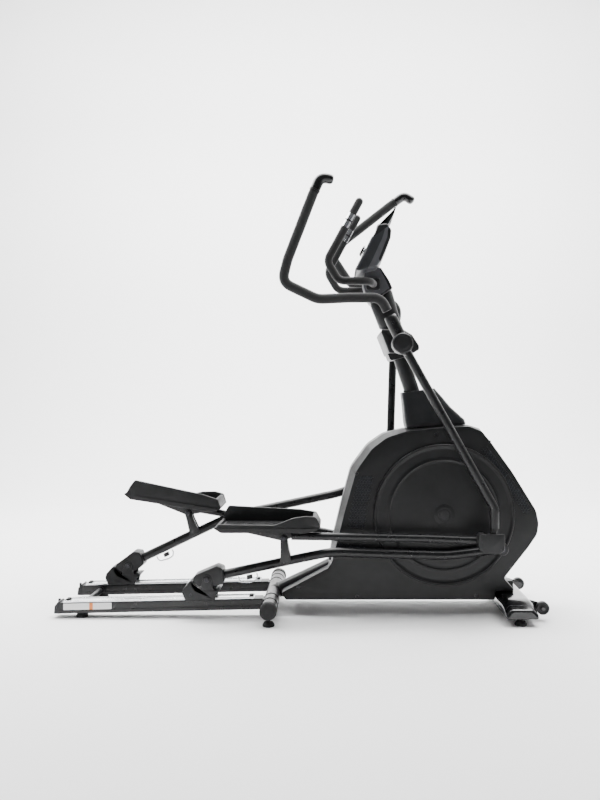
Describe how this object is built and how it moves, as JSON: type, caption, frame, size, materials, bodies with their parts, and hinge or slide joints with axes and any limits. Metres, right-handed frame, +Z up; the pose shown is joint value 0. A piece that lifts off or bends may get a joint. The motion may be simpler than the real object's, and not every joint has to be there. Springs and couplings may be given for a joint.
{
  "type": "elliptical trainer",
  "caption": "Front-drive elliptical trainer with swinging and fixed handlebars, foot trays on roller carriages, covered flywheel and a slanted display console",
  "frame": {"origin": "Centre of the bounding box, on the floor", "axes": "X along the machine, +X towards the flywheel; Y across it, +Y to the rider's left; Z up"},
  "size_m": [1.921, 0.594, 1.7707],
  "materials": {
    "black_paint": "satin black powder coat",
    "gloss_black": "gloss black",
    "case_plastic": "satin near-black moulding",
    "disc_plastic": "satin near-black moulding",
    "cover_plastic": "matt dark grey moulding",
    "console_grey": "satin mid grey",
    "console_slate": "satin dark slate",
    "foam": "matt black foam",
    "rubber": "matt black",
    "pedal_plastic": "matt black, finely ribbed",
    "aluminium": "bright extruded",
    "steel": "ground",
    "cast_iron": "turned",
    "wheel_plastic": "matt black"
  },
  "bodies": {
    "frame": {"main_frame": "black_paint", "crossbar_cap_right": "rubber", "crossbar_cap_left": "rubber", "front_stabilizer": "gloss_black", "rail_right": "black_paint", "rail_left": "black_paint", "track_right": "aluminium", "track_left": "aluminium", "rear_tie": "black_paint", "side_case_right": "case_plastic", "side_case_left": "case_plastic", "case_strip": "case_plastic", "mast_boot": "cover_plastic", "mast": "black_paint", "pivot_axle": "steel", "mast_collar": "cover_plastic", "console_shell": "console_grey", "console_face": "console_slate", "device_rack": "cover_plastic", "fixed_handlebar": "foam", "drive_belt": "rubber"},
    "crank": {"crank_axle": "steel", "drive_pulley": "black_paint", "crank_disc_right": "disc_plastic", "crank_disc_left": "disc_plastic"},
    "flywheel_body": {"flywheel": "cast_iron"},
    "brake": {"brake_caliper": "steel"},
    "knob": {"console_knob": "gloss_black"},
    "rear_right_foot": {"foot_rear_right": "rubber"},
    "rear_left_foot": {"foot_rear_left": "rubber"},
    "middle_right_foot": {"foot_middle_right": "rubber"},
    "middle_left_foot": {"foot_middle_left": "rubber"},
    "front_right_foot": {"foot_front_right": "rubber"},
    "front_left_foot": {"foot_front_left": "rubber"},
    "right_transport_wheel": {"transport_wheel_right": "wheel_plastic"},
    "left_transport_wheel": {"transport_wheel_left": "wheel_plastic"},
    "right_swing": {"swing_arm_right": "black_paint", "handlebar_right": "black_paint", "grip_right": "foam", "handlebar_tip_right": "gloss_black"},
    "right_carriage": {"carriage_right": "cover_plastic"},
    "right_arm": {"pedal_arm_right": "black_paint", "arm_cover_right": "cover_plastic"},
    "right_link": {"link_tube_right": "black_paint", "pedal_right": "pedal_plastic", "joint_cover_right": "cover_plastic"},
    "rear_right_roller": {"roller_rear_right": "wheel_plastic"},
    "front_right_roller": {"roller_front_right": "wheel_plastic"},
    "left_swing": {"swing_arm_left": "black_paint", "handlebar_left": "black_paint", "grip_left": "foam", "handlebar_tip_left": "gloss_black"},
    "left_carriage": {"carriage_left": "cover_plastic"},
    "left_arm": {"pedal_arm_left": "black_paint", "arm_cover_left": "cover_plastic"},
    "left_link": {"link_tube_left": "black_paint", "pedal_left": "pedal_plastic", "joint_cover_left": "cover_plastic"},
    "rear_left_roller": {"roller_rear_left": "wheel_plastic"},
    "front_left_roller": {"roller_front_left": "wheel_plastic"}
  },
  "joints": [
    {"name": "crank_turn", "type": "hinge", "parent": "frame", "child": "crank", "pos_m": [0.5685, 0, 0.3944], "axis": [0, 1, 0], "continuous": true},
    {"name": "flywheel_turn", "type": "hinge", "parent": "frame", "child": "flywheel_body", "pos_m": [0.765, 0, 0.3], "axis": [0, 1, 0], "continuous": true},
    {"name": "brake_swing", "type": "hinge", "parent": "frame", "child": "brake", "pos_m": [0.777, 0, 0.4345], "axis": [0, -1, 0], "range_deg": [0, 8]},
    {"name": "knob_turn", "type": "hinge", "parent": "frame", "child": "knob", "pos_m": [0.2648, 0, 1.4517], "axis": [-0.8909, 0, 0.4542], "continuous": true},
    {"name": "rear_right_foot_screw", "type": "hinge", "parent": "frame", "child": "rear_right_foot", "pos_m": [-0.856, -0.135, 0.02], "axis": [0, 0, 1], "continuous": true},
    {"name": "rear_left_foot_screw", "type": "hinge", "parent": "frame", "child": "rear_left_foot", "pos_m": [-0.856, 0.135, 0.02], "axis": [0, 0, 1], "continuous": true},
    {"name": "middle_right_foot_screw", "type": "hinge", "parent": "frame", "child": "middle_right_foot", "pos_m": [-0.1145, -0.262, 0.02], "axis": [0, 0, 1], "continuous": true},
    {"name": "middle_left_foot_screw", "type": "hinge", "parent": "frame", "child": "middle_left_foot", "pos_m": [-0.1145, 0.262, 0.02], "axis": [0, 0, 1], "continuous": true},
    {"name": "front_right_foot_screw", "type": "hinge", "parent": "frame", "child": "front_right_foot", "pos_m": [0.836, -0.25, 0.02], "axis": [0, 0, 1], "continuous": true},
    {"name": "front_left_foot_screw", "type": "hinge", "parent": "frame", "child": "front_left_foot", "pos_m": [0.836, 0.25, 0.02], "axis": [0, 0, 1], "continuous": true},
    {"name": "right_transport_wheel_turn", "type": "hinge", "parent": "frame", "child": "right_transport_wheel", "pos_m": [0.935, -0.19, 0.048], "axis": [0, 1, 0], "continuous": true},
    {"name": "left_transport_wheel_turn", "type": "hinge", "parent": "frame", "child": "left_transport_wheel", "pos_m": [0.935, 0.19, 0.048], "axis": [0, 1, 0], "continuous": true},
    {"name": "right_handlebar_swing", "type": "hinge", "parent": "frame", "child": "right_swing", "pos_m": [0.3922, -0.219, 1.0642], "axis": [0, 1, 0], "range_deg": [-2.5, 33.5]},
    {"name": "right_carriage_roll", "type": "slide", "parent": "frame", "child": "right_carriage", "axis": [0.9998, 0, 0.0217], "range_m": [-0.416, 0.033]},
    {"name": "right_arm_pivot", "type": "hinge", "parent": "right_carriage", "child": "right_arm", "pos_m": [-0.36008, -0.14, 0.15309], "axis": [0, 1, 0], "range_deg": [-14.6, 1.1]},
    {"name": "right_link_pivot", "type": "hinge", "parent": "right_arm", "child": "right_link", "pos_m": [-0.06469, -0.14, 0.31036], "axis": [0, 1, 0], "range_deg": [-1.9, 24.4]},
    {"name": "rear_right_roller_turn", "type": "hinge", "parent": "right_carriage", "child": "rear_right_roller", "pos_m": [-0.41976, -0.135, 0.09158], "axis": [0, 1, 0], "continuous": true},
    {"name": "front_right_roller_turn", "type": "hinge", "parent": "right_carriage", "child": "front_right_roller", "pos_m": [-0.35178, -0.135, 0.09306], "axis": [0, 1, 0], "continuous": true},
    {"name": "left_handlebar_swing", "type": "hinge", "parent": "frame", "child": "left_swing", "pos_m": [0.3922, 0.219, 1.0642], "axis": [0, 1, 0], "range_deg": [-33.5, 2.5]},
    {"name": "left_carriage_roll", "type": "slide", "parent": "frame", "child": "left_carriage", "axis": [0.9998, 0, 0.0217], "range_m": [-0.033, 0.416]},
    {"name": "left_arm_pivot", "type": "hinge", "parent": "left_carriage", "child": "left_arm", "pos_m": [-0.74266, 0.14, 0.14478], "axis": [0, 1, 0], "range_deg": [-1.1, 14.6]},
    {"name": "left_link_pivot", "type": "hinge", "parent": "left_arm", "child": "left_link", "pos_m": [-0.49197, 0.14, 0.36646], "axis": [0, 1, 0], "range_deg": [-24.4, 1.9]},
    {"name": "rear_left_roller_turn", "type": "hinge", "parent": "left_carriage", "child": "rear_left_roller", "pos_m": [-0.80234, 0.135, 0.08327], "axis": [0, 1, 0], "continuous": true},
    {"name": "front_left_roller_turn", "type": "hinge", "parent": "left_carriage", "child": "front_left_roller", "pos_m": [-0.73436, 0.135, 0.08475], "axis": [0, 1, 0], "continuous": true}
  ],
  "couplings": [
    {"joint": "flywheel_turn", "follows": "crank_turn", "ratio": 5.9},
    {"joint": "right_carriage_roll", "follows": "right_handlebar_swing", "m_per_rad": -0.70769},
    {"joint": "right_arm_pivot", "follows": "right_handlebar_swing", "ratio": -0.43421},
    {"joint": "right_link_pivot", "follows": "right_handlebar_swing", "ratio": 0.72636},
    {"joint": "rear_right_roller_turn", "follows": "right_handlebar_swing", "ratio": -40.439},
    {"joint": "front_right_roller_turn", "follows": "right_handlebar_swing", "ratio": -40.439},
    {"joint": "left_handlebar_swing", "follows": "right_handlebar_swing", "ratio": -1},
    {"joint": "left_carriage_roll", "follows": "right_handlebar_swing", "m_per_rad": 0.70769},
    {"joint": "left_arm_pivot", "follows": "right_handlebar_swing", "ratio": 0.43421},
    {"joint": "left_link_pivot", "follows": "right_handlebar_swing", "ratio": -0.72636},
    {"joint": "rear_left_roller_turn", "follows": "right_handlebar_swing", "ratio": 40.439},
    {"joint": "front_left_roller_turn", "follows": "right_handlebar_swing", "ratio": 40.439}
  ]
}
